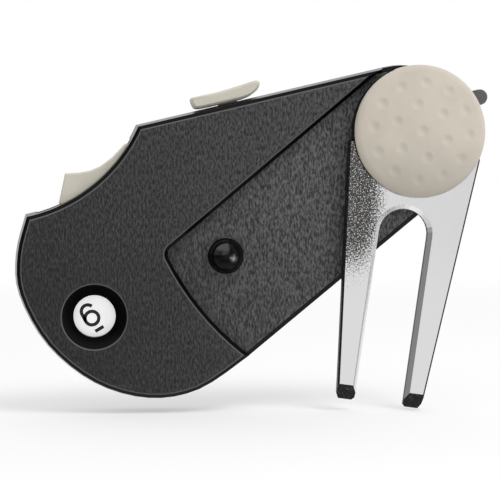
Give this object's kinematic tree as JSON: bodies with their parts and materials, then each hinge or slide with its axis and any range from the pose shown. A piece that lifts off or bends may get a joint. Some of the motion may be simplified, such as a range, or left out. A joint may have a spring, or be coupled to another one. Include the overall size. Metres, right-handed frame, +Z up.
{
  "type": "divot repair tool",
  "caption": "Folding two-prong golf divot fork on a moulded case, with a magnetic ball marker, a stroke counter with thumb trigger and a sliding club brush.",
  "frame": {"origin": "on the flat back face, on the fork's pivot axis", "axes": "+X to the right seen from the front, +Z up, the front of the case looks towards -Y"},
  "size_m": [0.0903, 0.0123, 0.0657],
  "materials": {
    "case_black": "fine leather-grain moulding with polished rims",
    "beige_plastic": "satin",
    "grey_plastic": "satin",
    "gloss_black": "gloss",
    "dial_white": "satin",
    "chrome": "bright plating over a cast grain",
    "steel": "plain",
    "magnet_nickel": "nickel plated",
    "bristle_nylon": "nylon filament"
  },
  "bodies": {
    "case": {"front_shell": "case_black", "back_shell": "case_black", "case_screw_1": "steel", "case_screw_2": "steel", "case_screw_3": "steel", "case_screw_4": "steel", "pivot_rivet": "steel", "wave_washer": "steel", "wheel_washer": "steel", "wheel_screw": "steel", "stop_pawl": "steel", "trigger_spring": "steel", "catch_spring": "steel", "brush_detent": "steel"},
    "fork": {"fork": "chrome", "magnet": "magnet_nickel"},
    "marker": {"ball_marker": "beige_plastic", "marker_steel_disc": "steel"},
    "wheel": {"count_wheel": "dial_white"},
    "trigger": {"count_trigger": "beige_plastic", "drive_pawl": "steel"},
    "catch": {"catch_button": "gloss_black"},
    "brush": {"slide_button": "beige_plastic", "brush_carriage": "grey_plastic", "brush_bristles": "bristle_nylon"}
  },
  "joints": [
    {"name": "fork_pivot", "type": "hinge", "parent": "case", "child": "fork", "pos_m": [0, 0, 0], "axis": [0, -1, 0], "range_deg": [-47.2, 132.8]},
    {"name": "marker_lift", "type": "slide", "parent": "fork", "child": "marker", "axis": [0, -1, 0], "range_m": [0, 0.015]},
    {"name": "trigger_slide", "type": "slide", "parent": "case", "child": "trigger", "axis": [-0.7719, 0, -0.6358], "range_m": [0, 0.004], "stiffness_N_per_m": 150, "deforming": ["trigger_spring"]},
    {"name": "wheel_index", "type": "hinge", "parent": "case", "child": "wheel", "pos_m": [-0.0539, 0, -0.0287], "axis": [0, -1, 0], "range_deg": [0, 36], "deforming": ["stop_pawl"]},
    {"name": "brush_slide", "type": "slide", "parent": "case", "child": "brush", "axis": [0.973, 0, 0.2307], "range_m": [0, 0.02]},
    {"name": "catch_press", "type": "slide", "parent": "case", "child": "catch", "axis": [0, 1, 0], "range_m": [0, 0.0029], "stiffness_N_per_m": 60, "deforming": ["catch_spring"]}
  ],
  "couplings": [
    {"joint": "wheel_index", "follows": "trigger_slide", "rad_per_m": 157.07}
  ]
}
